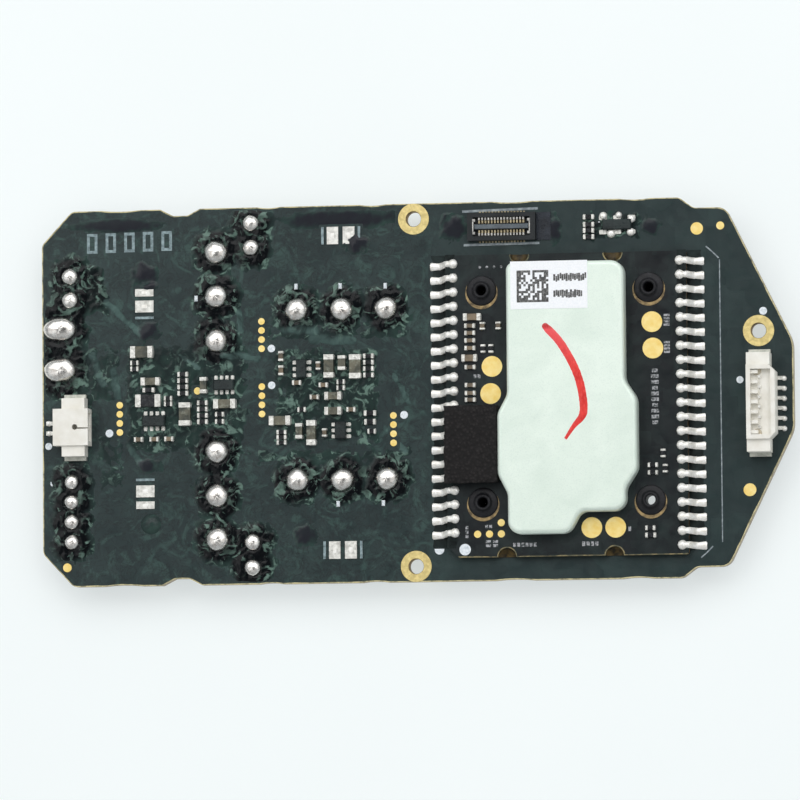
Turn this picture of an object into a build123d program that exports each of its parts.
from build123d import *
import os

# Flight controller board of a small quadcopter: a power board that carries four motor drives,
# with a flight computer module soldered flat on it by its scalloped edge contacts.
# Frame: +X towards the pointed nose end, +Z up through the module, Z = 0 at the lowest underside
# parts, and X = Y = 0 at the middle of the board. Millimetres.

# ---- driving dimensions -------------------------------------------------------------------
BOARD_LENGTH = 95.4
BOARD_WIDTH = 47.6
BOARD_THICK = 1.6
UNDERSIDE_HEIGHT = 2.9            # height of the tallest underside parts, which the board rests on
TAIL_CHAMFER = (3.9, 4.2)
NOSE_START_X = 33.6               # where the straight sides step in towards the nose
NOSE_STEP = 1.35
NOSE_CORNER_X = 39.4
NOSE_FLAT = 5.5                   # half length of the blunt nose edge

MODULE_LEFT, MODULE_RIGHT = 4.15, 34.5
MODULE_LOW, MODULE_HIGH = -20.9, 17.05
MODULE_THICK = 1.0

SHIELD_HEIGHT = 2.4
SHEET = 0.2                       # metal thickness of the shield can and its frame
COPPER = 0.06                     # height of a plated pad over the laminate

MOUNT_HOLE_RADIUS = 1.0
MOUNT_RING_RADIUS = 1.95
MOUNT_HOLES = [(0.0, 21.85), (0.0, -21.85), (43.4, 6.9)]

GROMMET_CENTRE = (19.25, -0.75)
GROMMET_SPACING = (21.1, 26.6)
GROMMET_RADIUS = 1.9
GROMMET_BORE = 0.75
GROMMET_HEIGHT = 0.7
MODULE_SCREW_HOLE = 1.2           # clearance through both boards under each grommet

CASTELLATION_PITCH = 1.778
CASTELLATIONS_LEFT = 20
CASTELLATIONS_RIGHT = 21
CASTELLATION_TOP_Y = 15.85

CONNECTOR_PITCH = 1.25
CONNECTOR_HEIGHT = 3.6
CONNECTOR_WALL = 0.55
CONTACT = 0.3
HEADER_PITCH = 2.54

MOSFET_BODY = (5.15, 4.9, 0.95)
MOSFET_TAB = 0.62
CHIP_END = 0.22                   # share of a chip part's length that each metal end takes

BOARD_BOTTOM = UNDERSIDE_HEIGHT
BOARD_TOP = BOARD_BOTTOM + BOARD_THICK
MODULE_TOP = BOARD_TOP + MODULE_THICK
HALF_LENGTH = BOARD_LENGTH / 2
HALF_WIDTH = BOARD_WIDTH / 2

UP = (Align.CENTER, Align.CENTER, Align.MIN)
DOWN = (Align.CENTER, Align.CENTER, Align.MAX)


# ---- basic shapes -------------------------------------------------------------------------
def block(x, y, z, length, width, height, align=UP):
    return Pos(x, y, z) * Box(length, width, height, align=align)


def disc(x, y, z, radius, height, align=UP):
    return Pos(x, y, z) * Cylinder(radius, height, align=align)


def ring(x, y, z, outer, inner, height, align=UP):
    return Pos(x, y, z) * (Cylinder(outer, height, align=align) - Cylinder(inner, height, align=align))


def dome(radius, height):
    """A solder dome: the cap of a sphere, flat on Z = 0."""
    ball = (radius**2 + height**2) / (2 * height)
    keep = Box(4 * radius, 4 * radius, height, align=UP)
    return (Pos(0, 0, height - ball) * Sphere(ball)) & keep


def oval_dome(length, width, height):
    """A long solder joint: a low mound on a stadium-shaped foot."""
    foot = extrude(SlotOverall(length, width), height)
    return fillet(foot.faces().sort_by(Axis.Z)[-1].edges(), height * 0.9)


def plate(outline, z, thickness):
    return Pos(0, 0, z) * extrude(outline, thickness)


def rounded_outline(corners):
    """A closed outline from (x, y, corner radius) rows."""
    points = [(x, y) for x, y, _ in corners]
    radii = [radius for _, _, radius in corners]
    return make_face(FilletPolyline(*points, radius=radii, close=True))


def save(name, pieces):
    """Write one sub-part; pieces that are alike stay separate solids."""
    solids = [solid for piece in pieces for solid in piece.solids()]
    shape = solids[0] if len(solids) == 1 else Compound(children=solids)
    export_step(shape, f"parts/{name}.step")


# ---- power board --------------------------------------------------------------------------
def power_board_outline():
    tail_x = -HALF_LENGTH
    inner_y = HALF_WIDTH - NOSE_STEP
    upper = [
        (tail_x, HALF_WIDTH - TAIL_CHAMFER[1], 1.2),
        (tail_x + TAIL_CHAMFER[0], HALF_WIDTH, 1.2),
        (NOSE_START_X, HALF_WIDTH, 1.2),
        (NOSE_START_X + 1.8, inner_y, 1.2),
        (NOSE_CORNER_X, inner_y, 1.6),
        (HALF_LENGTH, NOSE_FLAT, 4.0),
    ]
    lower = [(x, -y, radius) for x, y, radius in reversed(upper)]
    return rounded_outline(upper + lower)


def edge_cuts():
    """Locating notches and the shallow dips left by the break-off tabs, on both long edges."""
    notch_x, notch_mouth, notch_floor, notch_depth = -29.85, 4.2, 1.8, 0.85
    dips = [(-37.5, 2.5), (-18.5, 1.5), (-5.2, 1.7), (12.5, 2.5), (28.0, 2.0)]
    dip_depth = 0.15
    cuts = []
    for side in (1, -1):
        mouth = [(end * notch_mouth, side * notch_depth) for end in (-1, 1)]
        floor = [(end * notch_floor / 2, -side * notch_depth) for end in (1, -1)]
        notch = make_face(Polyline(*mouth, *floor, close=True))
        notch = fillet(notch.vertices().sort_by(Axis.Y, reverse=side < 0)[:2], notch_depth * 0.8)
        cuts.append(Pos(notch_x, side * HALF_WIDTH) * notch)
        for x, half_span in dips:
            radius = (half_span**2 + dip_depth**2) / (2 * dip_depth)
            cuts.append(Pos(x, side * (HALF_WIDTH + radius - dip_depth)) * Circle(radius))
    return cuts


def grommet_places():
    cx, cy = GROMMET_CENTRE
    dx, dy = GROMMET_SPACING[0] / 2, GROMMET_SPACING[1] / 2
    return [(cx + sx * dx, cy + sy * dy) for sy in (1, -1) for sx in (-1, 1)]


def power_board():
    outline = power_board_outline()
    for cut in edge_cuts():
        outline -= cut
    for x, y in MOUNT_HOLES:
        outline -= Pos(x, y) * Circle(MOUNT_HOLE_RADIUS)
    for x, y in grommet_places():
        outline -= Pos(x, y) * Circle(MODULE_SCREW_HOLE)
    return plate(outline, BOARD_BOTTOM, BOARD_THICK)


def mounting_rings():
    """Plated rings round the mounting holes, on both faces."""
    rings = []
    for x, y in MOUNT_HOLES:
        rings.append(ring(x, y, BOARD_TOP, MOUNT_RING_RADIUS, MOUNT_HOLE_RADIUS, COPPER))
        rings.append(ring(x, y, BOARD_BOTTOM, MOUNT_RING_RADIUS, MOUNT_HOLE_RADIUS, COPPER, DOWN))
    return rings


# ---- flight computer module ---------------------------------------------------------------
def module_board():
    corners = [
        (MODULE_LEFT, MODULE_HIGH, 0.3),
        (MODULE_RIGHT, MODULE_HIGH, 0.3),
        (MODULE_RIGHT, MODULE_LOW, 0.3),
        (MODULE_LEFT + 1.4, MODULE_LOW, 0.4),
        (MODULE_LEFT, MODULE_LOW + 1.5, 0.4),
    ]
    outline = rounded_outline(corners)
    for x, y in [(13.5, MODULE_HIGH), (25.3, MODULE_HIGH), (11.65, MODULE_LOW), (25.2, MODULE_LOW)]:
        outline -= Pos(x, y) * Circle(1.15)
    for x, y in grommet_places():
        outline -= Pos(x, y) * Circle(MODULE_SCREW_HOLE)
    return plate(outline, BOARD_TOP, MODULE_THICK)


def castellation_joint(edge_x, outward, y):
    """Solder bridging a power-board pad and a module pad over the module's edge."""
    wet = 0.12
    reach_out, reach_in = 2.1, 1.45
    out, crown = edge_x + outward * reach_out, 0.32
    points = [
        (out, BOARD_TOP),
        (out, BOARD_TOP + wet),
        (edge_x + outward * 0.75, BOARD_TOP + 0.45),
        (edge_x + outward * 0.25, MODULE_TOP + wet),
        (edge_x - outward * 0.45, MODULE_TOP + crown),
        (edge_x - outward * reach_in, MODULE_TOP + wet),
        (edge_x - outward * reach_in, MODULE_TOP),
        (edge_x, MODULE_TOP),
        (edge_x, BOARD_TOP),
    ]
    side_view = make_face(Polyline(*points, close=True))
    width = 1.08
    return Pos(0, y + width / 2, 0) * extrude(Rot(90, 0, 0) * side_view, width, dir=(0, -1, 0))


def castellation_joints(edge_x, outward, count):
    rows = [CASTELLATION_TOP_Y - step * CASTELLATION_PITCH for step in range(count)]
    return [castellation_joint(edge_x, outward, y) for y in rows]


def grommets():
    """Four soft bushes that keep the module's fixing screws off the laminate."""
    return [ring(x, y, MODULE_TOP, GROMMET_RADIUS, GROMMET_BORE, GROMMET_HEIGHT)
            for x, y in grommet_places()]


def grommet_rings():
    """Crescents of plated land that show past the low side of each bush."""
    drop = 0.28
    outer, inner = GROMMET_RADIUS + 0.15, GROMMET_RADIUS + 0.02
    return [Pos(x, y, MODULE_TOP) * (
        Pos(0, -drop, 0) * Cylinder(outer, COPPER, align=UP) - Cylinder(inner, COPPER, align=UP))
        for x, y in grommet_places()]


# ---- shield can over the processor and sensors ---------------------------------------------
def shield_outline():
    left, left_low, right, right_low = 12.08, 10.82, 26.92, 28.42
    high, low = 15.85, -18.15
    corners = [
        (left, high, 1.0),
        (left, -0.75, 2.0),
        (left_low, -3.05, 2.0),
        (left_low, -10.65, 2.0),
        (left, -13.15, 2.0),
        (left, low, 1.6),
        (19.75, low, 1.6),
        (21.25, -15.45, 1.4),
        (right, -15.45, 1.6),
        (right, -12.65, 2.0),
        (right_low, -10.35, 2.0),
        (right_low, -1.45, 2.0),
        (right, 0.85, 2.0),
        (right, high, 1.7),
    ]
    return rounded_outline(corners)


def shield_cover():
    can = plate(shield_outline(), MODULE_TOP + 0.15, SHIELD_HEIGHT - 0.15)
    can = fillet(can.faces().sort_by(Axis.Z)[-1].edges(), 0.55)
    inside = plate(offset(shield_outline(), -SHEET), MODULE_TOP, SHIELD_HEIGHT - SHEET)
    inside = fillet(inside.faces().sort_by(Axis.Z)[-1].edges(), 0.35)
    return can - inside


def shield_frame():
    gap = SHEET + 0.05
    height = 1.5
    outer = plate(offset(shield_outline(), -gap), MODULE_TOP, height)
    inner = plate(offset(shield_outline(), -gap - SHEET), MODULE_TOP, height)
    return outer - inner


CHIP_CENTRE_X = 19.9
PROCESSOR = (CHIP_CENTRE_X, 7.0, 12.0, 12.0, 1.1)
MEMORY = (CHIP_CENTRE_X, -6.0, 11.0, 9.0, 1.0)
MOTION_SENSOR = (16.0, -14.2, 4.0, 4.0, 0.9)
PRESSURE_SENSOR = (23.8, -13.0, 2.6, 2.4, 0.95)


def module_chip(centre_and_size):
    x, y, length, width, height = centre_and_size
    body = block(x, y, MODULE_TOP, length, width, height)
    return chamfer(body.faces().sort_by(Axis.Z)[-1].edges(), 0.1)


def thermal_pad():
    x, y, length, width, height = PROCESSOR
    top = SHIELD_HEIGHT - SHEET
    return block(x, y, MODULE_TOP + height, length - 2.0, width - 2.0, top - height)


def shield_label():
    return block(17.55, 12.9, MODULE_TOP + SHIELD_HEIGHT, 9.7, 6.0, 0.05)


def ink_mark():
    """An inspector's hand-drawn stroke of paint pen on the can."""
    route = Spline((17.05, 7.7), (19.65, 4.45), (21.3, 0.75), (21.75, -2.75), (20.5, -4.85), (19.45, -6.4))
    return plate(trace(route, 0.95), MODULE_TOP + SHIELD_HEIGHT, 0.03)


def foam_pad():
    pad = block(7.42, -6.8, MODULE_TOP + 0.35, 6.6, 9.6, 2.0)
    return fillet(pad.edges().filter_by(Axis.Z), 0.4)


# ---- small chip parts -----------------------------------------------------------------------
def chip_parts(rows, z, height, align=UP):
    """Bodies and metal ends of ceramic or resistor chips from (x, y, length, width, turn) rows."""
    bodies, ends = [], []
    for x, y, length, width, turn in rows:
        end = length * CHIP_END
        place = Pos(x, y, z) * Rot(0, 0, turn)
        bodies.append(place * Box(length - 2 * end, width, height, align=align))
        for side in (1, -1):
            end_x = side * (length - end) / 2
            ends.append(place * Pos(end_x, 0, 0) * Box(end, width + 0.06, height + 0.04, align=align))
    return bodies, ends


# Larger ceramic capacitors of the motor drives.
DRIVE_CAPACITORS = [
    (-34.8, 5.75, 2.85, 1.4, 0),
    (-33.7, 2.0, 2.4, 0.9, 0),
    (-29.3, -2.2, 2.9, 1.4, 90),
    (-26.9, 1.4, 2.0, 0.8, 90),
    (-24.2, -1.0, 2.8, 1.1, 0),
    (-17.15, -3.25, 2.7, 1.1, 0),
    (-14.7, -4.6, 1.9, 0.8, 90),
    (-13.15, -4.85, 3.1, 1.1, 90),
    (-10.85, 3.5, 2.9, 1.2, 90),
    (-9.2, 3.9, 1.8, 0.9, 90),
    (-7.5, 3.4, 3.0, 1.4, 90),
    (-10.35, -0.25, 2.1, 0.9, 0),
    (-10.35, -2.15, 2.1, 0.9, 0),
]
# Small tan filter capacitors.
FILTER_CAPACITORS = [
    (-35.3, -5.3, 1.1, 0.5, 0),
    (-33.3, -5.3, 1.1, 0.5, 0),
    (-31.4, -5.3, 1.1, 0.5, 0),
    (-17.0, 4.9, 1.2, 0.55, 90),
    (-17.0, 3.1, 1.2, 0.55, 90),
    (-15.0, 1.5, 1.1, 0.5, 0),
    (-11.6, 1.15, 1.1, 0.5, 0),
    (-12.75, -0.35, 1.1, 0.5, 0),
    (-8.1, -2.0, 1.1, 0.5, 0),
    (-12.25, 3.6, 1.0, 0.5, 90),
    (-11.5, -4.85, 1.0, 0.5, 90),
]


def drive_resistors():
    """The gate and divider resistors, single ones and two ladders of four."""
    rows = [
        (-34.1, -0.4, 3.2, 1.5, 0),
        (-34.0, 0.95, 1.5, 0.5, 0),
        (-35.8, 4.4, 1.0, 0.5, 0),
        (-35.8, 3.65, 1.0, 0.5, 0),
        (-31.5, -0.15, 1.0, 0.5, 0),
        (-31.5, -0.85, 1.0, 0.5, 0),
        (-24.9, -2.3, 1.1, 0.5, 0),
        (-24.9, -3.2, 1.1, 0.5, 0),
        (-9.4, 1.5, 1.0, 0.5, 0),
        (-9.4, 0.75, 1.0, 0.5, 0),
        (-17.0, -4.7, 1.2, 0.45, 0),
        (-17.0, -5.35, 1.2, 0.45, 0),
        (-17.0, -6.0, 1.2, 0.45, 0),
        (-14.4, -1.9, 1.0, 0.5, 0),
        (-5.7, -2.5, 1.5, 0.55, 0),
        (-5.7, -3.6, 1.4, 0.6, 0),
        (-5.5, -4.8, 1.0, 0.5, 0),
        (22.2, 21.6, 1.35, 0.5, 0),
        (22.2, 20.65, 1.35, 0.5, 0),
        (22.2, 19.9, 1.35, 0.5, 0),
        (22.2, 19.1, 1.35, 0.5, 0),
    ]
    ladder_pitch = 0.8
    for x, top_y in [(-29.6, 2.85), (-27.1, -0.8), (-5.85, 4.7)]:
        rows += [(x, top_y - step * ladder_pitch, 1.3, 0.5, 0) for step in range(4)]
    return rows


def module_capacitor_rows():
    x = 7.2
    rows = [(x + 0.3, 9.25, 2.2, 0.8, 0), (x - 0.1, 4.1, 1.9, 0.8, 0)]
    rows += [(x, y, 1.3, 0.45, 0) for y in (8.15, 7.25, 6.3, 5.35, 2.95, 0.7, -0.3, -1.15)]
    rows += [(8.8, 8.1, 0.9, 0.55, 90), (10.8, 8.1, 0.9, 0.55, 90)]
    return rows


MODULE_RESISTORS = [
    (30.1, -9.7, 1.2, 0.45, 0),
    (30.1, -10.65, 1.2, 0.45, 0),
    (31.65, -10.15, 1.0, 0.5, 90),
    (31.4, -8.25, 1.0, 0.5, 90),
    (29.7, -17.55, 1.2, 0.45, 0),
    (29.75, -18.45, 1.3, 0.5, 0),
    (8.85, 5.25, 1.0, 0.5, 90),
    (9.85, 5.25, 1.0, 0.5, 90),
]

# Small leaded chips: x, y, body length, body width, height, turn, leads on each side, lead pitch.
SMALL_CHIPS = [
    (-33.3, -3.0, 2.9, 1.4, 0.9, 0, 4, 0.75),
    (-24.3, 1.4, 2.6, 1.3, 0.9, 0, 4, 0.7),
    (-14.35, 3.25, 2.3, 1.3, 0.9, 90, 3, 0.8),
    (-9.4, -4.6, 2.2, 1.4, 0.9, 90, 3, 0.75),
    (25.8, 20.55, 3.6, 1.3, 0.7, 0, 3, 1.8),
]


def leaded_chip(x, y, length, width, height, turn, leads, pitch, z, up=True):
    """A plastic chip body with rows of flat feet along both long sides."""
    place = Pos(x, y, z) * Rot(0, 0 if up else 180, turn)
    body = Pos(0, 0, 0.05) * Box(length, width, height - 0.05, align=UP)
    body = chamfer(body.faces().sort_by(Axis.Z)[-1].edges(), 0.12)
    foot_length, foot_width, foot_height = 0.5, pitch * 0.5, 0.15
    feet = []
    for side in (1, -1):
        for step in range(leads):
            foot_x = (step - (leads - 1) / 2) * pitch
            foot_y = side * (width + foot_length) / 2
            feet.append(place * Pos(foot_x, foot_y, 0) * Box(foot_width, foot_length, foot_height, align=UP))
    return place * body, feet


def leaded_chips(rows, z, up=True):
    bodies, feet = [], []
    for row in rows:
        body, row_feet = leaded_chip(*row, z, up)
        bodies.append(body)
        feet += row_feet
    return bodies, feet


# ---- solder joints and pads -----------------------------------------------------------------
PHASE_COLUMN = [(-25.3, y) for y in (18.2, 12.6, 7.0, -7.0, -12.6, -18.1)]
PHASE_ROWS = [(x, y) for y in (10.7, -10.8) for x in (-15.0, -9.3, -3.6)]
LAMP_JOINTS = [(-20.8, 21.8), (-20.8, 18.7), (-20.8, -18.5), (-20.8, -21.7)]
TAIL_PAIR_X, TAIL_PAIR_Y = -44.1, 14.0
HEADER_X, HEADER_Y = -44.0, -14.35
HEADER_WAYS = 4
BATTERY_JOINTS = [(-45.4, 8.85), (-45.4, 3.65)]


def header_places():
    return [(HEADER_X, HEADER_Y + (step - (HEADER_WAYS - 1) / 2) * HEADER_PITCH)
            for step in range(HEADER_WAYS)]


def tail_pair_places():
    return [(TAIL_PAIR_X, TAIL_PAIR_Y + side * 1.5) for side in (1, -1)]


def domes(places, radius, height):
    shape = dome(radius, height)
    return [Pos(x, y, BOARD_TOP) * shape for x, y in places]


def underside_lands():
    """Tinned lands on the lower face, where the motor and lamp wires go in."""
    land_height = 0.12
    places = [(place, 1.35) for place in PHASE_COLUMN + PHASE_ROWS]
    places += [(place, 0.9) for place in LAMP_JOINTS]
    places += [(place, 1.5) for place in BATTERY_JOINTS]
    return [disc(x, y, BOARD_BOTTOM, radius, land_height, DOWN) for (x, y), radius in places]


def large_test_pads():
    places = [(9.95, 3.0), (9.75, -0.4), (30.15, 8.2), (30.25, 4.9), (22.35, -17.4), (25.35, -17.4)]
    return [disc(x, y, MODULE_TOP, 1.3, COPPER) for x, y in places]


def small_test_pads():
    """Probe columns and single probe pads on both boards."""
    pads = []
    probe_pitch, probe_radius = 1.15, 0.42
    for x, top_y in [(-19.5, 9.35), (-19.5, 1.1), (-37.75, -0.9), (-2.75, -2.85)]:
        pads += [disc(x, top_y - step * probe_pitch, BOARD_TOP, probe_radius, COPPER)
                 for step in range(4)]
    for x, y, radius in [(35.8, 19.85, 0.78), (42.1, -12.95, 0.8), (38.75, 20.15, 0.5),
                         (-44.6, -21.35, 0.55), (-27.75, 0.72, 0.45)]:
        pads.append(disc(x, y, BOARD_TOP, radius, COPPER))
    for x, y in [(7.95, -18.0), (9.45, -18.0), (10.95, -18.0), (10.95, -16.6)]:
        pads.append(disc(x, y, MODULE_TOP, 0.45, COPPER))
    return pads


def shunt_pads():
    """Tinned four-terminal lands of the four motor current sensors, beside the drives."""
    tin = 0.14
    rows = [(13.3, 0.95), (11.55, 1.5), (10.1, 0.3)]
    pads = []
    for centre_y, direction in [(0.0, 1), (-0.3, -1)]:
        for y, width in rows:
            pads.append(block(-34.5, centre_y + direction * y, BOARD_TOP, 2.35, width, tin))
    for y in (20.0, -19.65):
        for x, width in [(-11.61, 0.3), (-10.33, 1.45), (-8.27, 1.5), (-6.95, 0.3)]:
            pads.append(block(x, y, BOARD_TOP, width, 2.2, tin))
    return pads


def glue_blob():
    return [Pos(-33.8, -16.0, BOARD_TOP) * dome(1.3, 0.6)]


def tape_patch():
    return [block(16.5, 20.6, BOARD_TOP, 1.8, 3.5, 0.12)]


# ---- connectors -----------------------------------------------------------------------------
def eared(shell, length, ear_x, ear_depth, ear_length, ear_height):
    """Adds the two end ears that hide the solder nails."""
    for side in (1, -1):
        ear_y = side * (length + ear_length) / 2
        shell += Pos(ear_x, ear_y, 0) * Box(ear_depth, ear_length, ear_height, align=UP)
    return shell


SIX_PIN_WAYS = 6
SIX_PIN_DEPTH = 3.6
SIX_PIN_LENGTH = SIX_PIN_WAYS * CONNECTOR_PITCH + 1.75
SIX_PIN_FLOOR = 2.6
SIX_PIN_EAR_X, SIX_PIN_EAR_DEPTH, SIX_PIN_EAR_LENGTH = -0.35, 2.9, 1.55
TWO_PIN_WAYS = 2
TWO_PIN_DEPTH, TWO_PIN_LENGTH = 4.5, 4.65
TWO_PIN_HEIGHT, TWO_PIN_FLOOR, TWO_PIN_BACK = 2.5, 0.6, 1.2
TWO_PIN_EAR_X, TWO_PIN_EAR_DEPTH, TWO_PIN_EAR_LENGTH = 0.28, 2.95, 1.35


def way_offsets(ways):
    return [(step - (ways - 1) / 2) * CONNECTOR_PITCH for step in range(ways)]


def six_pin_socket():
    """A top-entry socket: feet on the +X side, ribs between the contacts on the other."""
    depth, length, wall = SIX_PIN_DEPTH, SIX_PIN_LENGTH, CONNECTOR_WALL
    shell = Box(depth, length, CONNECTOR_HEIGHT, align=UP)
    shell = chamfer(shell.edges().filter_by(Axis.Z).sort_by(Axis.X)[-2:], 0.8)
    cavity = Box(depth - 2 * wall, length - 2 * wall, CONNECTOR_HEIGHT, align=UP)
    shell -= Pos(0, 0, SIX_PIN_FLOOR) * cavity
    rib_length, rib_width, rib_height = 0.9, 0.45, 0.7
    for y in way_offsets(SIX_PIN_WAYS + 1):
        rib_x = -depth / 2 + wall + rib_length / 2
        shell += Pos(rib_x, y, SIX_PIN_FLOOR) * Box(rib_length, rib_width, rib_height, align=UP)
    ears = SIX_PIN_EAR_X, SIX_PIN_EAR_DEPTH, SIX_PIN_EAR_LENGTH
    return eared(shell, length, *ears, CONNECTOR_HEIGHT - 0.5)


def six_pin_contacts():
    """A post in the cavity and a foot on the board for every way, bent from one strip."""
    post_top, foot_end, foot_height = 3.1, 2.75, 0.3
    contacts = []
    for y in way_offsets(SIX_PIN_WAYS):
        post = Pos(-0.2, y, SIX_PIN_FLOOR) * Box(CONTACT, CONTACT, post_top - SIX_PIN_FLOOR, align=UP)
        foot_start = SIX_PIN_DEPTH / 2
        foot = Pos((foot_start + foot_end) / 2, y, 0) * Box(
            foot_end - foot_start, CONTACT + 0.15, foot_height, align=UP)
        contacts += [post, foot]
    return contacts


def two_pin_socket():
    """A side-entry socket: mouth towards +X, with the latch slot and its round end in the roof."""
    depth, length, height, wall = TWO_PIN_DEPTH, TWO_PIN_LENGTH, TWO_PIN_HEIGHT, CONNECTOR_WALL
    shell = Box(depth, length, height, align=UP)
    mouth = Box(depth - TWO_PIN_BACK, length - 2 * wall, height - wall - TWO_PIN_FLOOR, align=UP)
    shell -= Pos(TWO_PIN_BACK / 2, 0, TWO_PIN_FLOOR) * mouth
    hole_x, hole_radius, slot_y, slot_width = 0.55, 0.36, -0.15, 0.2
    slot_length = depth / 2 - hole_x
    shell -= Pos(hole_x, 0, height) * Cylinder(hole_radius, wall, align=DOWN)
    shell -= Pos(hole_x + slot_length / 2, slot_y, height) * Box(slot_length, slot_width, wall, align=DOWN)
    ears = TWO_PIN_EAR_X, TWO_PIN_EAR_DEPTH, TWO_PIN_EAR_LENGTH
    return eared(shell, length, *ears, height - 0.4)


def two_pin_contacts():
    """A pin along the mouth and a foot behind the housing for each way."""
    pin_length, pin_height, foot_length, foot_height = 2.6, 1.2, 1.3, 0.3
    back = -TWO_PIN_DEPTH / 2
    contacts = []
    for y in way_offsets(TWO_PIN_WAYS):
        contacts.append(Pos(back + TWO_PIN_BACK + pin_length / 2, y, pin_height) * Box(pin_length, CONTACT, CONTACT))
        contacts.append(Pos(back - foot_length / 2, y, 0) * Box(
            foot_length, CONTACT + 0.2, foot_height, align=UP))
    return contacts


def socket_nails(length, ear_x, ear_depth, ear_length):
    """Solder nails at the ends of the ears."""
    nail_length, nail_height = 0.5, 0.8
    reach = length / 2 + ear_length + nail_length / 2
    return [Pos(ear_x, side * reach, 0) * Box(ear_depth - 0.2, nail_length, nail_height, align=UP)
            for side in (1, -1)]


SIX_PIN_PLACE = Pos(43.9, -2.2, BOARD_TOP)
TWO_PIN_PLACE = Pos(-43.64, -3.7, BOARD_TOP)


def placed(place, pieces):
    return [place * piece for piece in pieces]


MEZZANINE_X, MEZZANINE_Y = 11.25, 20.6
MEZZANINE_WAYS = 15
MEZZANINE_PITCH = 0.4


def mezzanine_housing():
    """A low board-to-board socket: a trough with a tongue down its middle."""
    length, width, height = 8.6, 3.5, 1.0
    shell = block(MEZZANINE_X, MEZZANINE_Y, BOARD_TOP, length, width, height)
    shell -= block(MEZZANINE_X, MEZZANINE_Y, BOARD_TOP + 0.3, length - 1.4, width - 1.1, height)
    tongue = block(MEZZANINE_X, MEZZANINE_Y, BOARD_TOP + 0.3, length - 2.4, 0.7, height - 0.3)
    return shell + tongue


def mezzanine_contacts():
    strips = []
    reach, strip_width, strip_height = 0.7, 0.2, 0.5
    foot_out, foot_size = 1.87, 0.2
    for side in (1, -1):
        for step in range(MEZZANINE_WAYS):
            x = MEZZANINE_X + (step - (MEZZANINE_WAYS - 1) / 2) * MEZZANINE_PITCH
            y = MEZZANINE_Y + side * 0.78
            strips.append(block(x, y, BOARD_TOP + 0.3, strip_width, reach, strip_height))
            foot_y = MEZZANINE_Y + side * foot_out
            strips.append(block(x, foot_y, BOARD_TOP, strip_width, foot_size, foot_size))
    return strips


# ---- underside ------------------------------------------------------------------------------
def mosfet_places():
    """Six power transistors for each of the four motors: (x, y, turn)."""
    places = []
    for y in (18.2, 12.6, 7.0):
        for x in (-30.6, -37.2):
            places.append((x, y, 90))
    for x in (-15.0, -9.3, -3.6):
        for y in (16.1, 5.3):
            places.append((x, y, 0))
    return places + [(x, -y, turn) for x, y, turn in places]


def mosfet_bodies():
    length, width, height = MOSFET_BODY
    shape = Box(width, length, height, align=DOWN)
    shape = chamfer(shape.faces().sort_by(Axis.Z)[0].edges(), 0.1)
    return [Pos(x, y, BOARD_BOTTOM) * Rot(0, 0, turn) * shape for x, y, turn in mosfet_places()]


def mosfet_tabs():
    """Four source and gate feet on one side of each transistor, one wide drain tab on the other."""
    length, width, _ = MOSFET_BODY
    foot = Box(0.45, MOSFET_TAB, 0.25, align=DOWN)
    drain = Box(width - 0.8, MOSFET_TAB, 0.25, align=DOWN)
    reach = (length + MOSFET_TAB) / 2
    tabs = []
    for x, y, turn in mosfet_places():
        place = Pos(x, y, BOARD_BOTTOM) * Rot(0, 0, turn)
        tabs.append(place * Pos(0, reach, 0) * drain)
        tabs += [place * Pos((step - 1.5) * 1.27, -reach, 0) * foot for step in range(4)]
    return tabs


def drive_controllers():
    side, height = 4.0, 0.85
    return [block(x, 0, BOARD_BOTTOM, side, side, height, DOWN) for x in (-37.0, -30.6, -15.0, -6.5)]


def gate_drivers():
    side, height = 3.0, 0.85
    return [block(-20.3, y, BOARD_BOTTOM, side, side, height, DOWN) for y in (13.0, 6.0, -6.0, -13.0)]


POLYMER_PLACES = [(38.3, 14.0), (38.3, 0.0), (38.3, -14.0), (-23.0, 0.0)]
POLYMER_STANDOFF = 0.2


def polymer_capacitors():
    """The tallest underside parts; the board rests on their flat backs."""
    length, width = 7.3, 4.3
    shape = Box(width, length, UNDERSIDE_HEIGHT - POLYMER_STANDOFF, align=DOWN)
    shape = chamfer(shape.edges().filter_by(Axis.Z), 0.2)
    return [Pos(x, y, BOARD_BOTTOM - POLYMER_STANDOFF) * shape for x, y in POLYMER_PLACES]


def polymer_capacitor_tabs():
    length, width, offset_y = 2.4, 1.5, 2.9
    return [block(x, y + side * offset_y, BOARD_BOTTOM, length, width, POLYMER_STANDOFF, DOWN)
            for x, y in POLYMER_PLACES for side in (1, -1)]


def buck_inductors():
    side = 6.2
    shape = Box(side, side, UNDERSIDE_HEIGHT, align=DOWN)
    shape = fillet(shape.edges().filter_by(Axis.Z), 0.8)
    return [Pos(17.0, y, BOARD_BOTTOM) * shape for y in (7.0, -7.0)]


BUCK_CHIPS = [(24.6, y, 4.9, 3.9, 1.5, 0, 4, 1.27) for y in (7.0, -7.0)]


def underside_capacitor_rows():
    rows = []
    for y in (3.6, -3.6):
        rows += [(x, y, 3.2, 1.6, 90) for x in (9.5, 12.0)]
    for y in (12.6, 1.6, -1.6, -12.6):
        rows += [(x, y, 2.0, 1.25, 0) for x in (24.0, 27.6)]
    for side in (1, -1):
        rows += [(x, side * 10.75, 2.0, 1.25, 0) for x in (-12.15, -6.45)]
        rows += [(-33.9, side * 22.3, 2.0, 1.25, 0), (1.2, side * 10.7, 3.2, 1.6, 90)]
    return rows


def pin_socket(x, y, ways, pitch):
    """A low shrouded socket on the lower face, open downwards."""
    length, depth, height = ways * pitch + 1.2, 4.6, UNDERSIDE_HEIGHT
    wall, roof = 0.6, 0.7
    shell = block(x, y, BOARD_BOTTOM, depth, length, height, DOWN)
    shell -= block(x, y, BOARD_BOTTOM - roof, depth - 2 * wall, length - 2 * wall, height, DOWN)
    return shell


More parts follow.
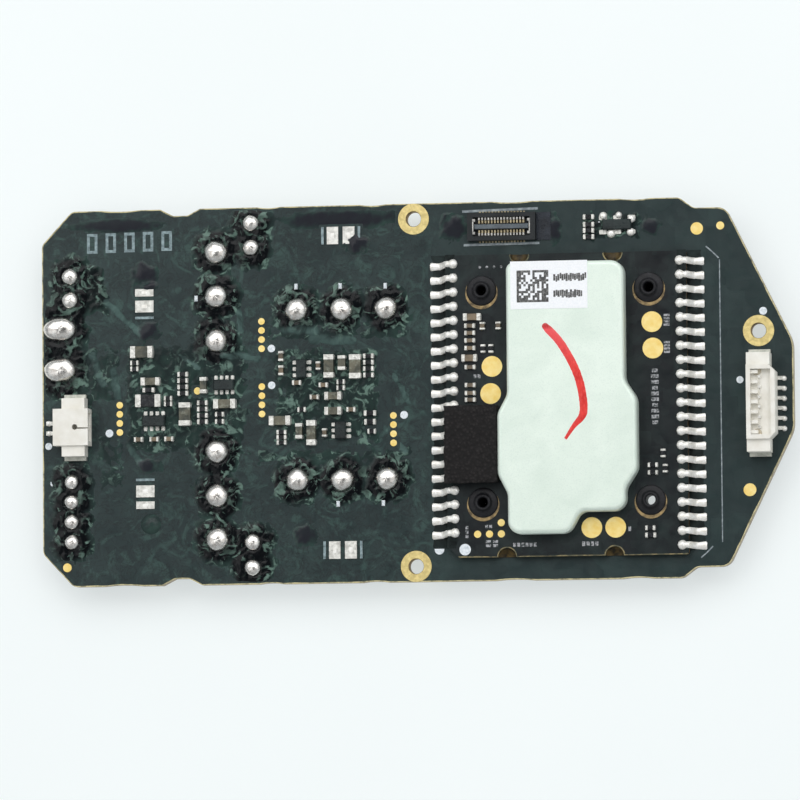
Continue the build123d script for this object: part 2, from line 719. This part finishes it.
def pin_socket_pins(places):
    side, reach, roof = 0.5, 1.8, 0.7
    return [block(x, y, BOARD_BOTTOM - roof, side, side, reach, DOWN) for x, y in places]


# ---- write every sub-part -------------------------------------------------------------------
def main():
    os.makedirs("parts", exist_ok=True)
    save("power_board", [power_board()])
    save("mounting_hole_rings", mounting_rings())
    save("flight_module_board", [module_board()])
    save("module_joints_left", castellation_joints(MODULE_LEFT, -1, CASTELLATIONS_LEFT))
    save("module_joints_right", castellation_joints(MODULE_RIGHT, 1, CASTELLATIONS_RIGHT))
    save("screw_grommets", grommets())
    save("grommet_rings", grommet_rings())
    save("shield_cover", [shield_cover()])
    save("shield_frame", [shield_frame()])
    save("processor_chip", [module_chip(PROCESSOR)])
    save("memory_chip", [module_chip(MEMORY)])
    save("motion_sensor", [module_chip(MOTION_SENSOR)])
    save("pressure_sensor", [module_chip(PRESSURE_SENSOR)])
    save("thermal_pad", [thermal_pad()])
    save("shield_label", [shield_label()])
    save("ink_mark", [ink_mark()])
    save("foam_pad", [foam_pad()])

    save("motor_phase_joints", domes(PHASE_COLUMN + PHASE_ROWS, 1.28, 1.05))
    save("lamp_wire_joints", domes(LAMP_JOINTS + tail_pair_places(), 0.9, 0.75))
    save("header_joints", domes(header_places(), 0.85, 0.7))
    save("battery_joints", [Pos(x, y, BOARD_TOP) * oval_dome(3.8, 2.7, 1.1) for x, y in BATTERY_JOINTS])
    save("underside_wire_lands", underside_lands())
    save("large_test_pads", large_test_pads())
    save("small_test_pads", small_test_pads())
    save("current_sensor_pads", shunt_pads())
    save("staking_glue_blob", glue_blob())
    save("tape_patch", tape_patch())

    bodies, ends = chip_parts(DRIVE_CAPACITORS, BOARD_TOP, 0.8)
    save("drive_capacitors", bodies)
    save("drive_capacitor_ends", ends)
    bodies, ends = chip_parts(FILTER_CAPACITORS, BOARD_TOP, 0.5)
    save("filter_capacitors", bodies)
    save("filter_capacitor_ends", ends)
    bodies, ends = chip_parts(drive_resistors(), BOARD_TOP, 0.35)
    save("drive_resistors", bodies)
    save("drive_resistor_ends", ends)
    bodies, feet = leaded_chips(SMALL_CHIPS, BOARD_TOP)
    save("drive_chips", bodies)
    save("drive_chip_leads", feet)
    bodies, ends = chip_parts(module_capacitor_rows(), MODULE_TOP, 0.45)
    save("module_capacitors", bodies)
    save("module_capacitor_ends", ends)
    bodies, ends = chip_parts(MODULE_RESISTORS, MODULE_TOP, 0.35)
    save("module_resistors", bodies)
    save("module_resistor_ends", ends)

    save("six_pin_socket", placed(SIX_PIN_PLACE, [six_pin_socket()]))
    save("six_pin_contacts", placed(SIX_PIN_PLACE, six_pin_contacts()))
    save("two_pin_socket", placed(TWO_PIN_PLACE, [two_pin_socket()]))
    save("two_pin_contacts", placed(TWO_PIN_PLACE, two_pin_contacts()))
    nails = placed(SIX_PIN_PLACE, socket_nails(
        SIX_PIN_LENGTH, SIX_PIN_EAR_X, SIX_PIN_EAR_DEPTH, SIX_PIN_EAR_LENGTH))
    nails += placed(TWO_PIN_PLACE, socket_nails(
        TWO_PIN_LENGTH, TWO_PIN_EAR_X, TWO_PIN_EAR_DEPTH, TWO_PIN_EAR_LENGTH))
    save("socket_nails", nails)
    save("mezzanine_socket", [mezzanine_housing()])
    save("mezzanine_contacts", mezzanine_contacts())

    save("motor_mosfets", mosfet_bodies())
    save("mosfet_tabs", mosfet_tabs())
    save("drive_controllers", drive_controllers())
    save("gate_drivers", gate_drivers())
    save("polymer_capacitors", polymer_capacitors())
    save("polymer_capacitor_tabs", polymer_capacitor_tabs())
    save("buck_inductors", buck_inductors())
    bodies, feet = leaded_chips(BUCK_CHIPS, BOARD_BOTTOM, up=False)
    save("buck_chips", bodies)
    save("buck_chip_leads", feet)
    bodies, ends = chip_parts(underside_capacitor_rows(), BOARD_BOTTOM, 1.3, DOWN)
    save("underside_capacitors", bodies)
    save("underside_capacitor_ends", ends)
    save("header_socket", [pin_socket(HEADER_X, HEADER_Y, HEADER_WAYS, HEADER_PITCH)])
    save("lamp_socket", [pin_socket(TAIL_PAIR_X, TAIL_PAIR_Y, 2, 3.0)])
    save("socket_pins", pin_socket_pins(header_places() + tail_pair_places()))


main()
